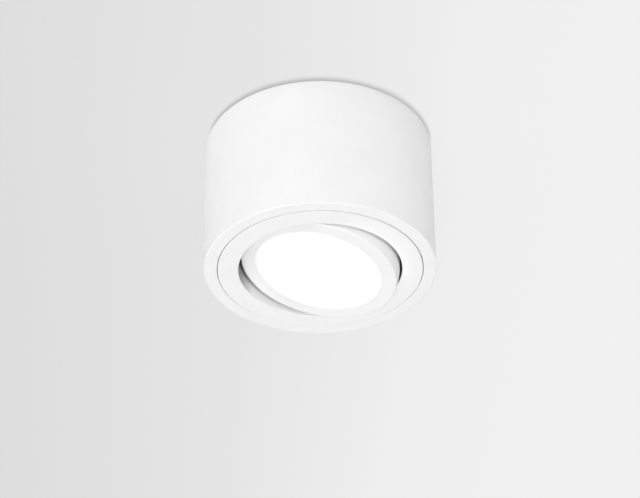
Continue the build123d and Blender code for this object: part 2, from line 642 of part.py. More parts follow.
# Light head, drawn level about its tilt axis
def make_tilt_ring():
    """Ring with a spherical skirt, a face round the window, a wire groove, pin holes and pegs."""
    groove_radius = RING_BORE_RADIUS + WIRE_GROOVE_DEPTH
    groove_half = WIRE_DIAMETER / 2 + 2 * WIRE_PLAY
    face_corner = (FACE_RADIUS, FACE_LEVEL)
    skirt_corner = (SKIRT_RADIUS, SKIRT_HEIGHT)
    profile = outline(
        ThreePointArc(face_corner, (HEAD_RADIUS, 0), skirt_corner),
        Polyline(
            skirt_corner,
            (RING_BORE_RADIUS, SKIRT_HEIGHT),
            (RING_BORE_RADIUS, WIRE_LEVEL + groove_half),
            (groove_radius, WIRE_LEVEL + groove_half),
            (groove_radius, WIRE_LEVEL - groove_half),
            (RING_BORE_RADIUS, WIRE_LEVEL - groove_half),
            (RING_BORE_RADIUS, RING_SEAT_LEVEL),
            (WINDOW_RADIUS, RING_SEAT_LEVEL),
            (WINDOW_RADIUS, FACE_LEVEL),
            face_corner,
        ),
    )
    profile = eased(profile, face_corner, FACE_EDGE)
    profile = eased(profile, (WINDOW_RADIUS, FACE_LEVEL), WINDOW_EDGE)
    ring = turned(profile)
    land = rod_y(PIVOT_LAND_DIAMETER / 2, 0, HEAD_RADIUS - PIVOT_LAND_DEPTH, OPENING_RADIUS)
    pin_hole = rod_y(PIN_DIAMETER / 2 + PIN_RUNNING_GAP, 0, 0, OPENING_RADIUS)
    peg_start = RING_BORE_RADIUS + PIN_END_GAP
    peg_end = COLLAR_RADIUS - STOP_PEG_END_GAP
    peg = rod_y(STOP_PEG_DIAMETER / 2, STOP_PEG_HEIGHT, peg_start, peg_end)
    ring -= opposite(land)
    ring -= opposite(pin_hole)
    return ring + opposite(peg)


def make_retaining_ring():
    """Open ring of spring wire in the tilt ring's groove, over the module's flange."""
    centre = RING_BORE_RADIUS + WIRE_GROOVE_DEPTH - WIRE_DIAMETER / 2 - WIRE_PLAY
    section = Plane.XZ * Pos(centre, WIRE_LEVEL) * Circle(WIRE_DIAMETER / 2)
    ring = revolve(section, Axis.Z, revolution_arc=360 - WIRE_GAP_ANGLE)
    return Rot(0, 0, WIRE_GAP_ANGLE / 2) * ring


def make_diffuser():
    """Opal disc, stepped so that its middle stands flush in the window."""
    boss = WINDOW_RADIUS - WINDOW_GAP
    return turned(outline(Polyline(
        (0, FACE_LEVEL),
        (boss, FACE_LEVEL),
        (boss, RING_SEAT_LEVEL),
        (MODULE_RADIUS, RING_SEAT_LEVEL),
        (MODULE_RADIUS, MODULE_FRONT_LEVEL),
        (0, MODULE_FRONT_LEVEL),
        close=True,
    )))


def make_module_body():
    """Heat sink: flanged and finned, a tapered lamp chamber in front, a driver bay behind."""
    profile = outline(Polyline(
        (CHAMBER_MOUTH_RADIUS, MODULE_FRONT_LEVEL),
        (MODULE_RADIUS, MODULE_FRONT_LEVEL),
        (MODULE_RADIUS, FLANGE_TOP_LEVEL),
        (BODY_RADIUS, FLANGE_TOP_LEVEL),
        (BACK_RADIUS, MODULE_BACK_LEVEL),
        (BAY_RADIUS, MODULE_BACK_LEVEL),
        (BAY_RADIUS, BAY_FLOOR_LEVEL),
        (0, BAY_FLOOR_LEVEL),
        (0, CHAMBER_FLOOR_LEVEL),
        (CHAMBER_FLOOR_RADIUS, CHAMBER_FLOOR_LEVEL),
        close=True,
    ))
    body = turned(profile)
    cover_post = drum(COVER_POST_DIAMETER / 2, BAY_FLOOR_LEVEL, COVER_POST_TOP_LEVEL)
    cover_post -= drum(SMALL_SCREW_DIAMETER / 2 + SCREW_FIT, BAY_FLOOR_LEVEL, COVER_POST_TOP_LEVEL)
    body += [place * cover_post for place in PolarLocations(COVER_POST_CENTRE, COVER_SCREWS)]
    board_post = drum(BOARD_POST_DIAMETER / 2, BAY_FLOOR_LEVEL, DRIVER_BOARD_LEVEL)
    board_post -= drum(SMALL_SCREW_DIAMETER / 2 + SCREW_FIT, BAY_FLOOR_LEVEL, DRIVER_BOARD_LEVEL)
    body += [place * board_post for place in PolarLocations(BOARD_POST_CENTRE, BOARD_POSTS)]
    slot_height = MODULE_BACK_LEVEL - FLANGE_TOP_LEVEL - 2 * FIN_SLOT_MARGIN
    slot = Rot(0, -MODULE_TAPER_ANGLE, 0) * Box(2 * FIN_SLOT_DEPTH, FIN_SLOT_WIDTH, slot_height)
    slot = Pos(0, 0, (FLANGE_TOP_LEVEL + MODULE_BACK_LEVEL) / 2) * slot
    body -= [place * slot for place in PolarLocations((BODY_RADIUS + BACK_RADIUS) / 2, FIN_SLOTS)]
    return body - board_screw_holes(CHAMBER_FLOOR_LEVEL, LED_BOARD_LEVEL + BOARD_SCREW_LENGTH)


def board_screw_places():
    """Places of the screws that hold the light source's board."""
    return PolarLocations(BOARD_SCREW_CENTRE, BOARD_SCREWS, BOARD_SCREW_ANGLE)


def board_screw_holes(low, high):
    """Holes for those screws between two heights."""
    hole = drum(BOARD_SCREW_DIAMETER / 2 + SCREW_FIT, low, high)
    return [place * hole for place in board_screw_places()]


def make_reflector():
    """Tapered white liner of the chamber, with a foot on the board's edge."""
    foot_top = LED_BOARD_LEVEL - REFLECTOR_WALL
    front = MODULE_FRONT_LEVEL + REFLECTOR_GAP
    inside = REFLECTOR_GAP + REFLECTOR_WALL
    foot_radius = LED_BOARD_RADIUS - REFLECTOR_FOOT
    return turned(outline(Polyline(
        (chamber_radius(front) - REFLECTOR_GAP, front),
        (chamber_radius(LED_BOARD_LEVEL) - REFLECTOR_GAP, LED_BOARD_LEVEL),
        (foot_radius, LED_BOARD_LEVEL),
        (foot_radius, foot_top),
        (chamber_radius(foot_top) - inside, foot_top),
        (chamber_radius(front) - inside, front),
        close=True,
    )))


def make_led_board():
    """Metal core board on the chamber's floor."""
    board = drum(LED_BOARD_RADIUS, LED_BOARD_LEVEL, PAD_LEVEL)
    return board - board_screw_holes(LED_BOARD_LEVEL, PAD_LEVEL)


def make_led_chips():
    """Light emitting chips in two rings on the board's front."""
    chip = block(CHIP_WIDTH, CHIP_LENGTH, LED_BOARD_LEVEL - CHIP_HEIGHT, LED_BOARD_LEVEL)
    places = [*PolarLocations(INNER_CHIP_RADIUS, INNER_CHIPS)]
    places += [*PolarLocations(OUTER_CHIP_RADIUS, OUTER_CHIPS)]
    return group([place * chip for place in places])


def make_thermal_pad():
    """Soft pad between the board and the heat sink."""
    pad = drum(LED_BOARD_RADIUS - PAD_MARGIN, PAD_LEVEL, CHAMBER_FLOOR_LEVEL)
    return pad - board_screw_holes(PAD_LEVEL, CHAMBER_FLOOR_LEVEL)


def make_board_screws():
    """Screws through board and pad into the heat sink."""
    screw = Pos(0, 0, LED_BOARD_LEVEL) * pan_screw(BOARD_SCREW_DIAMETER, BOARD_SCREW_LENGTH - SCREW_TIP_GAP)
    return group([place * screw for place in board_screw_places()])


def make_driver_board():
    """Round circuit board on the bay's posts."""
    board = drum(DRIVER_BOARD_RADIUS, DRIVER_BOARD_LEVEL, DRIVER_TOP_LEVEL)
    hole = drum(SMALL_SCREW_DIAMETER / 2 + SCREW_FIT, DRIVER_BOARD_LEVEL, DRIVER_TOP_LEVEL)
    return board - [place * hole for place in PolarLocations(BOARD_POST_CENTRE, BOARD_POSTS)]


def make_driver_screws():
    """Screws that hold the driver's board on its posts."""
    length = DRIVER_BOARD_THICKNESS + BOARD_POST_HEIGHT - SCREW_TIP_GAP
    screw = Pos(0, 0, DRIVER_TOP_LEVEL) * UPSIDE_DOWN * pan_screw(SMALL_SCREW_DIAMETER, length)
    return group([place * screw for place in PolarLocations(BOARD_POST_CENTRE, BOARD_POSTS)])


def make_storage_capacitor():
    """Round can with the crimped neck near its foot."""
    radius = STORAGE_DIAMETER / 2
    neck_low = DRIVER_TOP_LEVEL + STORAGE_NECK
    neck_high = neck_low + 2 * STORAGE_NECK
    neck_middle = (radius - STORAGE_NECK / 2, neck_low + STORAGE_NECK)
    top = DRIVER_TOP_LEVEL + STORAGE_HEIGHT
    can = outline(
        Polyline((0, top), (0, DRIVER_TOP_LEVEL), (radius, DRIVER_TOP_LEVEL), (radius, neck_low)),
        ThreePointArc((radius, neck_low), neck_middle, (radius, neck_high)),
        Polyline((radius, neck_high), (radius, top), (0, top)),
    )
    return Pos(*STORAGE_PLACE, 0) * turned(can)


def make_film_capacitor():
    """Box capacitor with eased upright edges."""
    box = block(FILM_LENGTH, FILM_WIDTH, DRIVER_TOP_LEVEL, DRIVER_TOP_LEVEL + FILM_HEIGHT)
    return Pos(*FILM_PLACE, 0) * fillet(box.edges().filter_by(Axis.Z), FILM_EDGE)


def make_driver_inductor():
    """Drum core with a waist for its winding."""
    top = DRIVER_TOP_LEVEL + INDUCTOR_HEIGHT
    core = drum(INDUCTOR_DIAMETER / 2, DRIVER_TOP_LEVEL, top)
    low = DRIVER_TOP_LEVEL + INDUCTOR_RIM
    high = top - INDUCTOR_RIM
    core -= drum(INDUCTOR_DIAMETER / 2, low, high) - drum(INDUCTOR_WAIST / 2, low, high)
    return Pos(*INDUCTOR_PLACE, 0) * core


def make_driver_chips():
    """Rectifier and control chip on the driver's board."""
    top = DRIVER_TOP_LEVEL + DRIVER_CHIP_HEIGHT
    chip = block(DRIVER_CHIP_LENGTH, DRIVER_CHIP_WIDTH, DRIVER_TOP_LEVEL, top)
    return group([Pos(*place, 0) * chip for place in DRIVER_CHIP_PLACES])


def make_rear_cover():
    """Moulded cap of the driver bay with a spigot, an eased edge and a hole for the lead bush."""
    hole = BUSH_RADIUS + BUSH_FIT
    spigot = BAY_RADIUS - COVER_FIT
    spigot_level = MODULE_BACK_LEVEL - COVER_SPIGOT_DEPTH
    cover = turned(outline(Polyline(
        (hole, MODULE_BACK_LEVEL),
        (spigot - COVER_SPIGOT_WALL, MODULE_BACK_LEVEL),
        (spigot - COVER_SPIGOT_WALL, spigot_level),
        (spigot, spigot_level),
        (spigot, MODULE_BACK_LEVEL),
        (BACK_RADIUS, MODULE_BACK_LEVEL),
        (BACK_RADIUS, COVER_TOP_LEVEL - COVER_EDGE),
        (BACK_RADIUS - COVER_EDGE, COVER_TOP_LEVEL),
        (hole, COVER_TOP_LEVEL),
        close=True,
    )))
    screw_hole = drum(SMALL_SCREW_DIAMETER / 2 + SCREW_FIT, spigot_level, COVER_TOP_LEVEL)
    return cover - [place * screw_hole for place in PolarLocations(COVER_POST_CENTRE, COVER_SCREWS)]


def make_cover_screws():
    """Screws that hold the rear cover on its posts."""
    screw = Pos(0, 0, COVER_TOP_LEVEL) * UPSIDE_DOWN * pan_screw(SMALL_SCREW_DIAMETER, COVER_SCREW_LENGTH)
    return group([place * screw for place in PolarLocations(COVER_POST_CENTRE, COVER_SCREWS)])


def make_lead_bush():
    """Grooved rubber bush where the leads leave the module."""
    bore = BUSH_BORE / 2
    lip = BUSH_RADIUS + BUSH_LIP
    return turned(outline(Polyline(
        (bore, MODULE_BACK_LEVEL - BUSH_LIP),
        (lip, MODULE_BACK_LEVEL - BUSH_LIP),
        (lip, MODULE_BACK_LEVEL),
        (BUSH_RADIUS, MODULE_BACK_LEVEL),
        (BUSH_RADIUS, COVER_TOP_LEVEL),
        (lip, COVER_TOP_LEVEL),
        (BUSH_RADIUS, COVER_TOP_LEVEL + BUSH_LIP),
        (bore, COVER_TOP_LEVEL + BUSH_LIP),
        close=True,
    )))


FIXED_PIECES = {
    "housing": make_housing(),
    "back_plate": make_back_plate(),
    "plate_circlip": make_plate_circlip(),
    "cable_grommet": make_cable_grommet(),
    "terminal_block": make_terminal_block(),
    "terminal_barrels": make_terminal_barrels(),
    "terminal_screws": make_terminal_screws(),
    "block_screws": make_block_screws(),
    "earth_washer": make_earth_washer(),
    "earth_screw": make_earth_screw(),
}
TURNING_PIECES = {
    "bezel_ring": make_bezel_ring(),
    "spring_clip_right": make_spring_clip(),
    "spring_clip_left": Rot(0, 0, 180) * make_spring_clip(),
    "clip_rivets": make_clip_rivets(),
    "pivot_pins": make_pivot_pins(),
    "friction_washers": make_friction_washers(),
}
TILTING_PIECES = {
    "tilt_ring": make_tilt_ring(),
    "retaining_ring": make_retaining_ring(),
    "diffuser": make_diffuser(),
    "reflector": make_reflector(),
    "led_board": make_led_board(),
    "led_chips": make_led_chips(),
    "thermal_pad": make_thermal_pad(),
    "board_screws": make_board_screws(),
    "module_body": make_module_body(),
    "driver_board": make_driver_board(),
    "driver_screws": make_driver_screws(),
    "storage_capacitor": make_storage_capacitor(),
    "film_capacitor": make_film_capacitor(),
    "driver_inductor": make_driver_inductor(),
    "driver_chips": make_driver_chips(),
    "rear_cover": make_rear_cover(),
    "cover_screws": make_cover_screws(),
    "lead_bush": make_lead_bush(),
}

os.makedirs("parts", exist_ok=True)
for name, piece in {**FIXED_PIECES, **TURNING_PIECES}.items():
    export_step(piece, f"parts/{name}.step")
for name, piece in TILTING_PIECES.items():
    export_step(HEAD_PLACE * piece, f"parts/{name}.step")
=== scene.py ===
"""Looks of the ceiling spotlight: finishes, ceiling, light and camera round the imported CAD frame."""

import json
import math

import bpy
from mathutils import Matrix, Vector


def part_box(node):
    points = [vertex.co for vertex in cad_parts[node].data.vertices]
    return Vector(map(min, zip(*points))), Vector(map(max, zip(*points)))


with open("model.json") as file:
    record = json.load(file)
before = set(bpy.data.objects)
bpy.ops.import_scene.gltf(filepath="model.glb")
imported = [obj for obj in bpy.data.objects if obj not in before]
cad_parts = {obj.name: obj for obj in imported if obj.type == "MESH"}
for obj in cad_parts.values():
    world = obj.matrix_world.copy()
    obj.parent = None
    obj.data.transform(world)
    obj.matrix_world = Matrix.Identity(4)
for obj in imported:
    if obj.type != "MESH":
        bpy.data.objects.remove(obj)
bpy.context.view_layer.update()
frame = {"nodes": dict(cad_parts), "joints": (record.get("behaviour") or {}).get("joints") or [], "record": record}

# Sizes in metres, angles in radians
MM = 0.001

# Light head: its tilt at rest, and the glow of its window, which fades towards the edge
TILT_JOINT = next(joint for joint in frame["joints"] if joint["name"] == "head_tilt")
TILT_CENTRE = TILT_JOINT["pos_m"]
TILT_AT_REST = -math.radians(sum(TILT_JOINT["range_deg"]) / 2)
WINDOW_RADIUS = 23.06 * MM
GLOW_EDGE = 2.4 * MM
GLOW_EDGE_LEVEL = 0.25
GLOW_STRENGTH = 0.3

# Camera, below and in front of the light
CAMERA_AZIMUTH = math.radians(-5.46)
CAMERA_RANGE = 680.0 * MM
CAMERA_DROP = 514.2 * MM
CAMERA_PITCH = math.radians(34.68)
CAMERA_ROLL = math.radians(-0.79)
CAMERA_LENS_MM = 131.0

# White paint of the housing and bezel, and a shaded copy for the light head, a shade greyer to take back the extra
# light its tilted face catches
PAINT_LEVEL = 0.895
HEAD_PAINT_SHADED_LEVEL = 0.87
PAINT_SPREAD = 0.01

# Grain of the finishes: the part of the noise that the shades span, and the spread of a finish's roughness
GRAIN_DARK = 0.3
GRAIN_LIGHT = 0.7
METAL_SPREAD = 0.07
MOULDED_SPREAD = 0.06

# Brushed grain of the back plate: drawn out along X, and coarser than the other metals
SHEET_STRETCH = (1.0, 14.0, 1.0)
SHEET_SCALE = 60.0

# Housing and collar, for the painted shade inside the collar and the ceiling's hole, whose edge is over the rim
HOUSING_LOW, HOUSING_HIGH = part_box("housing")
HOUSING_RADIUS = (HOUSING_HIGH[0] - HOUSING_LOW[0]) / 2
RIM_OVERLAP = 0.5 * MM
FRONT_LEVEL = HOUSING_LOW[2]
# Painted shade inside the collar: its reach, the depths and sideways span over which it greys, and its grey
COLLAR_REACH = 29.6 * MM
COLLAR_SHADE_DEPTH_START = 0.05 * MM
COLLAR_SHADE_DEPTH_END = 0.45 * MM
COLLAR_SHADE_SIDE_START = 22.8 * MM
COLLAR_SHADE_SIDE_END = 28.8 * MM
COLLAR_PAINTED_SHADE = 0.18

# Ceiling: a round sheet with a hole over the housing's top, mostly seen as a glow, with painted light that grows
# paler to the right
CEILING_RADIUS = 900.0 * MM
CEILING_GAP = 0.05 * MM
CEILING_SIDES = 96
CEILING_GLOW_SHARE = 0.92
CEILING_PAINTED_LIGHT = ((0.0, 0.73), (0.4, 0.785), (0.7, 0.863), (1.0, 0.885))
SWEEP_HALF = 120.0 * MM

# Painted shade on the ceiling round the housing, widest and darkest in front, and full where a corner is half open
CONTACT_REACH_FRONT = 3.0 * MM
CONTACT_REACH_SIDE = 0.6 * MM
CONTACT_FRONT = -36.0 * MM
CONTACT_SIDE = -6.0 * MM
CONTACT_SHADE = 0.62
CONTACT_FADE = -18.0 * MM
CONTACT_END = -3.0 * MM
CONTACT_CORNER = 0.5

# Studio light: the surround below and above the ceiling, and soft lamps
SURROUND_BELOW = 0.09
SURROUND_ABOVE = 0.9
SURROUND_SEEN = 0.84
HORIZON_BLEND = 0.02
LAMP_REACH = 3000.0 * MM
LAMPS = (
    # name, azimuth and elevation in degrees, width and height in metres, power in watts
    ("key", -15.0, -50.0, 2.2, 2.2, 51.5),
    ("left_strip", -80.0, -6.0, 2.2, 0.5, 30.0),
    ("right_strip", 40.0, -6.0, 2.2, 0.5, 21.5),
    ("back_under", 180.0, -65.0, 2.2, 2.2, 27.5),
    ("below", 0.0, -90.0, 2.2, 2.2, 22.0),
)

# Numbers of a Mix node's factor and colour sockets
MIX_FACTOR = 0
MIX_FIRST = 6
MIX_SECOND = 7
MIX_RESULT = 2


def grey(level):
    """Opaque neutral colour."""
    return (level, level, level, 1.0)


def node(tree, kind, place, **values):
    """New shader node with its sockets set by name."""
    made = tree.nodes.new(kind)
    made.location = place
    for name, value in values.items():
        made.inputs[name.replace("_", " ")].default_value = value
    return made


def maths(tree, operation, place, *terms):
    """Result of one operation on fixed numbers and other nodes' results."""
    made = node(tree, "ShaderNodeMath", place)
    made.operation = operation
    for socket, term in zip(made.inputs, terms):
        if isinstance(term, float):
            socket.default_value = term
        else:
            tree.links.new(term, socket)
    return made.outputs["Value"]


def map_range(tree, value, place, start, end, low=0.0, high=1.0, smooth=False):
    """Number that goes from low to high as a value goes from start to end."""
    made = node(tree, "ShaderNodeMapRange", place, From_Min=start, From_Max=end, To_Min=low, To_Max=high)
    if smooth:
        made.interpolation_type = "SMOOTHSTEP"
    tree.links.new(value, made.inputs["Value"])
    return made.outputs["Result"]


def axis_distance(tree, point, place):
    """Distance of a point from the Z axis."""
    column, row = place
    flat = node(tree, "ShaderNodeVectorMath", (column, row))
    flat.operation = "MULTIPLY"
    flat.inputs[1].default_value = (1.0, 1.0, 0.0)
    radius = node(tree, "ShaderNodeVectorMath", (column + 200, row))
    radius.operation = "LENGTH"
    tree.links.new(point, flat.inputs[0])
    tree.links.new(flat.outputs["Vector"], radius.inputs[0])
    return radius.outputs["Value"]


def mixed(tree, place, factor, first, second):
    """Blend of two shaders."""
    made = node(tree, "ShaderNodeMixShader", place)
    tree.links.new(factor, made.inputs["Fac"])
    tree.links.new(first, made.inputs[1])
    tree.links.new(second, made.inputs[2])
    return made.outputs["Shader"]


def seen_directly(tree):
    """One for a ray from the camera, or one mirrored or passed on to it, and else nought."""
    path = node(tree, "ShaderNodeLightPath", (-700, 800))
    straight = path.outputs["Is Camera Ray"]
    mirrored = path.outputs["Is Glossy Ray"]
    either = maths(tree, "MAXIMUM", (-500, 800), straight, mirrored)
    return maths(tree, "MAXIMUM", (-300, 800), either, path.outputs["Is Transmission Ray"])


def material(name):
    """New node material, its tree and its Principled shader."""
    made = bpy.data.materials.new(name)
    made.use_nodes = True
    return made, made.node_tree, made.node_tree.nodes["Principled BSDF"]


def grain(tree, scale, detail, stretch=(1.0, 1.0, 1.0)):
    """Noise in the piece's own space, stretched along its axes."""
    space = node(tree, "ShaderNodeTexCoord", (-1100, 0))
    turn = node(tree, "ShaderNodeMapping", (-920, 0), Scale=stretch)
    noise = node(tree, "ShaderNodeTexNoise", (-740, 0), Scale=scale, Detail=detail)
    tree.links.new(space.outputs["Object"], turn.inputs["Vector"])
    tree.links.new(turn.outputs["Vector"], noise.inputs["Vector"])
    return noise.outputs["Fac"]


def shade(tree, factor, target, dark, light):
    """Colour between two shades, driven by a grain."""
    ramp = node(tree, "ShaderNodeValToRGB", (-460, 180))
    ramp.color_ramp.elements[0].position = GRAIN_DARK
    ramp.color_ramp.elements[1].position = GRAIN_LIGHT
    ramp.color_ramp.elements[0].color = (*dark, 1.0)
    ramp.color_ramp.elements[1].color = (*light, 1.0)
    tree.links.new(factor, ramp.inputs["Fac"])
    tree.links.new(ramp.outputs["Color"], target)


def spread(tree, factor, target, low, high):
    """Number between two limits, driven by a grain."""
    tree.links.new(map_range(tree, factor, (-460, -60), 0.0, 1.0, low, high), target)


def relief(tree, factor, shader, height, strength):
    """Bump on a shader, with its height in metres."""
    bump = node(tree, "ShaderNodeBump", (-260, -260), Strength=strength, Distance=height)
    tree.links.new(factor, bump.inputs["Height"])
    tree.links.new(bump.outputs["Normal"], shader.inputs["Normal"])


def powder_coat(name, level):
    """Matte white powder coat with a fine orange-peel texture."""
    made, tree, shader = material(name)
    cloud = grain(tree, scale=90.0, detail=3.0)
    peel = grain(tree, scale=1500.0, detail=2.0)
    dark = (level - PAINT_SPREAD,) * 3
    light = (level + PAINT_SPREAD,) * 3
    shade(tree, cloud, shader.inputs["Base Color"], dark, light)
    spread(tree, peel, shader.inputs["Roughness"], low=0.48, high=0.62)
    relief(tree, peel, shader, height=0.02 * MM, strength=0.25)
    shader.inputs["Specular IOR Level"].default_value = 0.35
    return made


def bezel_coat_with_painted_shade():
    """The same paint, with a painted shade inside the bezel's collar that is greyer with depth and towards both
    ends along X.
    """
    made = powder_coat("bezel_powder_coat_painted_shade", PAINT_LEVEL)
    tree = made.node_tree
    shader = tree.nodes["Principled BSDF"]
    paint = shader.inputs["Base Color"].links[0].from_socket
    space = node(tree, "ShaderNodeTexCoord", (-1100, 600))
    point = node(tree, "ShaderNodeSeparateXYZ", (-900, 700))
    tree.links.new(space.outputs["Object"], point.inputs["Vector"])
    # Painted shade: the collar's inner wall greys with depth and towards both ends along X
    edge_start = FRONT_LEVEL + COLLAR_SHADE_DEPTH_START
    edge_end = FRONT_LEVEL + COLLAR_SHADE_DEPTH_END
    depth = map_range(tree, point.outputs["Z"], (-700, 700), edge_start, edge_end)
    radius = axis_distance(tree, space.outputs["Object"], (-900, 500))
    inside = maths(tree, "LESS_THAN", (-500, 500), radius, COLLAR_REACH)
    across = maths(tree, "ABSOLUTE", (-700, 900), point.outputs["X"])
    side = map_range(tree, across, (-500, 900), COLLAR_SHADE_SIDE_START, COLLAR_SHADE_SIDE_END)
    deep = maths(tree, "MULTIPLY", (-300, 600), depth, inside)
    painted_shade = maths(tree, "MULTIPLY", (-200, 700), deep, side)
    mix = node(tree, "ShaderNodeMix", (-100, 400))
    mix.data_type = "RGBA"
    mix.inputs[MIX_SECOND].default_value = grey(COLLAR_PAINTED_SHADE)
    tree.links.new(painted_shade, mix.inputs[MIX_FACTOR])
    tree.links.new(paint, mix.inputs[MIX_FIRST])
    tree.links.new(mix.outputs[MIX_RESULT], shader.inputs["Base Color"])
    return made


def opal_glow():
    """Lit opal plastic, whose glow softens towards the edge of the window."""
    made, tree, shader = material("opal_glow")
    space = node(tree, "ShaderNodeTexCoord", (-1300, -300))
    turn = node(tree, "ShaderNodeMapping", (-1100, -300))
    turn.vector_type = "TEXTURE"
    turn.inputs["Location"].default_value = TILT_CENTRE
    turn.inputs["Rotation"].default_value = (0.0, TILT_AT_REST, 0.0)
    tree.links.new(space.outputs["Object"], turn.inputs["Vector"])
    radius = axis_distance(tree, turn.outputs["Vector"], (-900, -300))
    fade = map_range(tree, radius, (-500, -300), WINDOW_RADIUS, WINDOW_RADIUS - GLOW_EDGE, smooth=True)
    ramp = node(tree, "ShaderNodeValToRGB", (-300, -300))
    ramp.color_ramp.elements[0].color = grey(GLOW_EDGE_LEVEL)
    ramp.color_ramp.elements[1].color = grey(1.0)
    tree.links.new(fade, ramp.inputs["Fac"])
    tree.links.new(ramp.outputs["Color"], shader.inputs["Emission Color"])
    shader.inputs["Emission Strength"].default_value = GLOW_STRENGTH
    frost = grain(tree, scale=700.0, detail=2.0)
    shade(tree, frost, shader.inputs["Base Color"], dark=(0.83, 0.83, 0.83), light=(0.87, 0.87, 0.87))
    spread(tree, frost, shader.inputs["Roughness"], low=0.4, high=0.5)
    return made


def metal(name, dark, light, roughness, stretch=(1.0, 1.0, 1.0), scale=420.0):
    """Bare or plated metal, with a grain that may be drawn out along an axis."""
    made, tree, shader = material(name)
    shader.inputs["Metallic"].default_value = 1.0
    drawn = grain(tree, scale, detail=4.0, stretch=stretch)
    shade(tree, drawn, shader.inputs["Base Color"], dark, light)
    spread(tree, drawn, shader.inputs["Roughness"], roughness - METAL_SPREAD, roughness + METAL_SPREAD)
    relief(tree, drawn, shader, height=0.01 * MM, strength=0.2)
    return made


def moulded(name, dark, light, roughness, scale=600.0):
    """Moulded plastic, rubber or board with a fine even texture."""
    made, tree, shader = material(name)
    even = grain(tree, scale, detail=3.0)
    shade(tree, even, shader.inputs["Base Color"], dark, light)
    spread(tree, even, shader.inputs["Roughness"], roughness - MOULDED_SPREAD, roughness + MOULDED_SPREAD)
    relief(tree, even, shader, height=0.02 * MM, strength=0.2)
    return made


# Finish of each material slot: its name, the dark and light shade of its grain, and its roughness
FINISHES = {
    "white_paint": powder_coat("white_powder_coat", PAINT_LEVEL),
    "opal_diffuser": opal_glow(),
    "plate_steel": metal(
        "zinc_sheet", (0.58, 0.59, 0.60), (0.72, 0.73, 0.74), 0.38, SHEET_STRETCH, SHEET_SCALE
    ),
    "spring_steel": metal("spring_steel", (0.46, 0.47, 0.49), (0.60, 0.61, 0.63), 0.32),
    "zinc_plate": metal("zinc_screws", (0.62, 0.62, 0.60), (0.76, 0.76, 0.73), 0.30),
    "brass": metal("brass", (0.62, 0.45, 0.20), (0.80, 0.62, 0.32), 0.30),
    "cast_aluminium": metal("cast_aluminium", (0.56, 0.57, 0.58), (0.68, 0.69, 0.70), 0.45),
    "ferrite": metal("ferrite", (0.06, 0.06, 0.07), (0.12, 0.12, 0.13), 0.6),
    "dark_rubber": moulded("dark_rubber", (0.020, 0.020, 0.021), (0.034, 0.034, 0.035), 0.72),
    "terminal_plastic": moulded("terminal_plastic", (0.78, 0.77, 0.72), (0.84, 0.83, 0.79), 0.45),
    "slip_plastic": moulded("slip_plastic", (0.76, 0.76, 0.75), (0.82, 0.82, 0.81), 0.4),
    "board_white": moulded("board_white", (0.80, 0.80, 0.79), (0.86, 0.86, 0.85), 0.35),
    "phosphor": moulded("phosphor", (0.78, 0.62, 0.14), (0.88, 0.74, 0.22), 0.4),
    "pad_grey": moulded("pad_grey", (0.22, 0.26, 0.30), (0.30, 0.34, 0.38), 0.8),
    "reflector_white": moulded("reflector_white", (0.86, 0.86, 0.86), (0.90, 0.90, 0.90), 0.3),
    "board_green": moulded("board_green", (0.006, 0.06, 0.022), (0.012, 0.09, 0.034), 0.4),
    "black_sleeve": moulded("black_sleeve", (0.008, 0.008, 0.010), (0.016, 0.016, 0.020), 0.3),
    "film_yellow": moulded("film_yellow", (0.52, 0.34, 0.02), (0.62, 0.42, 0.03), 0.4),
    "chip_black": moulded("chip_black", (0.006, 0.006, 0.006), (0.014, 0.014, 0.014), 0.55),
    "cover_plastic": moulded("cover_plastic", (0.76, 0.76, 0.74), (0.82, 0.82, 0.80), 0.5),
}


def dress_nodes():
    """Each CAD node gets the finish of its material slot, or a coat of its own."""
    own_coats = {
        "bezel_ring": bezel_coat_with_painted_shade(),
        # Shaded copy of the white paint: painted shade that offsets the light on the tilted head
        "tilt_ring": powder_coat("head_powder_coat_shaded", HEAD_PAINT_SHADED_LEVEL),
    }
    for subpart in frame["record"]["subparts"]:
        name = subpart["node"]
        mesh = frame["nodes"][name].data
        mesh.materials.clear()
        mesh.materials.append(own_coats.get(name, FINISHES[subpart["material_slot"]]))


def contact_shade(tree, front):
    """Painted shade in the ceiling's colour near the housing, by the place from front to back."""
    reach = map_range(
        tree, front, (-900, 0), CONTACT_FRONT, CONTACT_SIDE, CONTACT_REACH_FRONT, CONTACT_REACH_SIDE
    )
    corner = node(tree, "ShaderNodeAmbientOcclusion", (-700, 0))
    tree.links.new(reach, corner.inputs["Distance"])
    darkest = map_range(
        tree, front, (-700, -300), CONTACT_FADE, CONTACT_END, CONTACT_SHADE, 1.0, smooth=True
    )
    contact = node(tree, "ShaderNodeMapRange", (-500, 0), From_Min=CONTACT_CORNER)
    tree.links.new(corner.outputs["AO"], contact.inputs["Value"])
    tree.links.new(darkest, contact.inputs["To Min"])
    return contact.outputs["Result"]


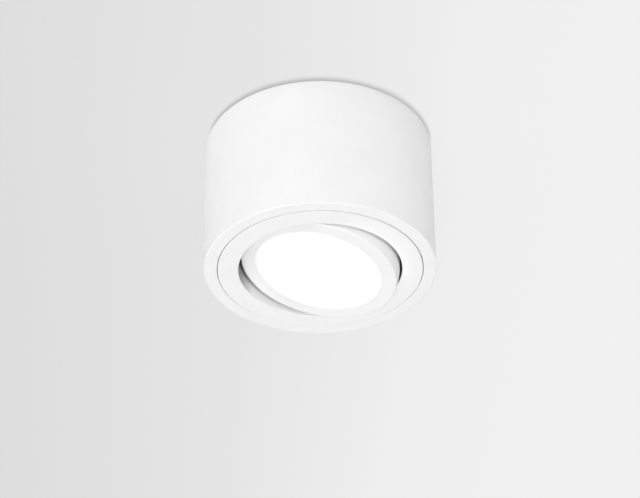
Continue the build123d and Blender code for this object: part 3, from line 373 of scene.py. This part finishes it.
def ceiling_painted_light_and_shade(tree, spot):
    """Colour of the ceiling at a spot: painted light that is paler to the right, and painted shade where the
    housing meets it.
    """
    point = node(tree, "ShaderNodeSeparateXYZ", (-900, 300))
    tree.links.new(spot, point.inputs["Vector"])
    # Painted light: the ceiling grows paler from left to right
    painted_light_sweep = map_range(tree, point.outputs["X"], (-700, 300), -SWEEP_HALF, SWEEP_HALF)
    ramp = node(tree, "ShaderNodeValToRGB", (-500, 300))
    for place, _ in CEILING_PAINTED_LIGHT[1:-1]:
        ramp.color_ramp.elements.new(place)
    for stop, (_, level) in zip(ramp.color_ramp.elements, CEILING_PAINTED_LIGHT):
        stop.color = grey(level)
    tree.links.new(painted_light_sweep, ramp.inputs["Fac"])
    painted_light_and_shade = node(tree, "ShaderNodeVectorMath", (-200, 200))
    painted_light_and_shade.operation = "SCALE"
    tree.links.new(ramp.outputs["Color"], painted_light_and_shade.inputs[0])
    tree.links.new(contact_shade(tree, point.outputs["Y"]), painted_light_and_shade.inputs["Scale"])
    return painted_light_and_shade.outputs["Vector"]


def clear_part(tree, spot, seen):
    """One where the ceiling is clear: from above, and over the rim for the light that falls on it."""
    radius = axis_distance(tree, spot, (-300, -700))
    over_rim = maths(tree, "LESS_THAN", (100, -700), radius, HOUSING_RADIUS)
    unseen = maths(tree, "SUBTRACT", (100, -900), 1.0, seen)
    lets_light = maths(tree, "MULTIPLY", (300, -700), over_rim, unseen)
    side = node(tree, "ShaderNodeNewGeometry", (300, -100))
    return maths(tree, "MAXIMUM", (450, -500), side.outputs["Backfacing"], lets_light)


def ceiling_paint():
    """Pale matte ceiling that is seen from below only, with painted light and painted shade in its colour."""
    made, tree, shader = material("ceiling_paint")
    made.cycles.emission_sampling = "NONE"
    space = node(tree, "ShaderNodeTexCoord", (-1100, 300))
    spot = space.outputs["Object"]
    painted_light_and_shade = ceiling_painted_light_and_shade(tree, spot)
    tree.links.new(painted_light_and_shade, shader.inputs["Base Color"])
    shader.inputs["Roughness"].default_value = 0.9
    shader.inputs["Specular IOR Level"].default_value = 0.1
    glow = node(tree, "ShaderNodeEmission", (0, 200))
    tree.links.new(painted_light_and_shade, glow.inputs["Color"])
    seen = seen_directly(tree)
    share = maths(tree, "MULTIPLY", (0, 400), seen, CEILING_GLOW_SHARE)
    pale = mixed(tree, (300, 200), share, shader.outputs["BSDF"], glow.outputs["Emission"])
    clear = node(tree, "ShaderNodeBsdfTransparent", (300, -400))
    sheet = mixed(tree, (600, 0), clear_part(tree, spot, seen), pale, clear.outputs["BSDF"])
    tree.links.new(sheet, tree.nodes["Material Output"].inputs["Surface"])
    return made


def make_ceiling():
    """Ceiling sheet that faces down, with a hole that the housing's top closes."""
    corners = []
    for step in range(CEILING_SIDES):
        angle = step * 2 * math.pi / CEILING_SIDES
        for radius in (HOUSING_RADIUS - RIM_OVERLAP, CEILING_RADIUS):
            corners.append((radius * math.cos(angle), radius * math.sin(angle), 0))
    count = len(corners)
    faces = [(i, (i + 2) % count, (i + 3) % count, i + 1) for i in range(0, count, 2)]
    mesh = bpy.data.meshes.new("ceiling")
    mesh.from_pydata(corners, [], faces)
    mesh.materials.append(ceiling_paint())
    ceiling = bpy.data.objects.new("ceiling", mesh)
    ceiling.location.z = CEILING_GAP
    bpy.context.scene.collection.objects.link(ceiling)


def make_world():
    """Even studio surround: pale where it is seen, and as a light mostly above the ceiling."""
    world = bpy.data.worlds.new("studio")
    bpy.context.scene.world = world
    world.use_nodes = True
    tree = world.node_tree
    seen = node(tree, "ShaderNodeBackground", (0, 200), Color=grey(SURROUND_SEEN))
    lit = tree.nodes["Background"]
    lit.inputs["Color"].default_value = grey(1.0)
    space = node(tree, "ShaderNodeTexCoord", (-900, -200))
    rise = node(tree, "ShaderNodeSeparateXYZ", (-700, -200))
    tree.links.new(space.outputs["Generated"], rise.inputs["Vector"])
    level = map_range(
        tree, rise.outputs["Z"], (-500, -200), -HORIZON_BLEND, HORIZON_BLEND, SURROUND_BELOW, SURROUND_ABOVE
    )
    tree.links.new(level, lit.inputs["Strength"])
    both = mixed(tree, (250, 0), seen_directly(tree), lit.outputs["Background"], seen.outputs["Background"])
    tree.links.new(both, tree.nodes["World Output"].inputs["Surface"])


def make_lamp(name, azimuth, elevation, width, height, power):
    """Soft lamp that looks at the light from a bearing and a height."""
    lamp = bpy.data.lights.new(name, "AREA")
    lamp.shape = "RECTANGLE"
    lamp.size = width
    lamp.size_y = height
    lamp.energy = power
    placed = bpy.data.objects.new(name, lamp)
    turn = Matrix.Rotation(math.radians(azimuth), 4, "Z")
    rise = Matrix.Rotation(math.radians(90.0 - elevation), 4, "X")
    placed.matrix_world = turn @ rise @ Matrix.Translation((0, 0, LAMP_REACH))
    placed.visible_camera = False
    bpy.context.scene.collection.objects.link(placed)


def make_camera():
    """Camera at the photograph's place, looking up at the ceiling."""
    data = bpy.data.cameras.new("camera")
    data.lens = CAMERA_LENS_MM
    camera = bpy.data.objects.new("camera", data)
    turn = Matrix.Rotation(CAMERA_AZIMUTH, 4, "Z")
    stand = Matrix.Translation((0, -CAMERA_RANGE, -CAMERA_DROP))
    pitch = Matrix.Rotation(math.pi / 2 + CAMERA_PITCH, 4, "X")
    roll = Matrix.Rotation(CAMERA_ROLL, 4, "Z")
    camera.matrix_world = turn @ stand @ pitch @ roll
    bpy.context.scene.collection.objects.link(camera)
    bpy.context.scene.camera = camera


dress_nodes()
make_ceiling()
make_world()
for lamp in LAMPS:
    make_lamp(*lamp)
make_camera()
bpy.context.scene.view_settings.view_transform = "Standard"
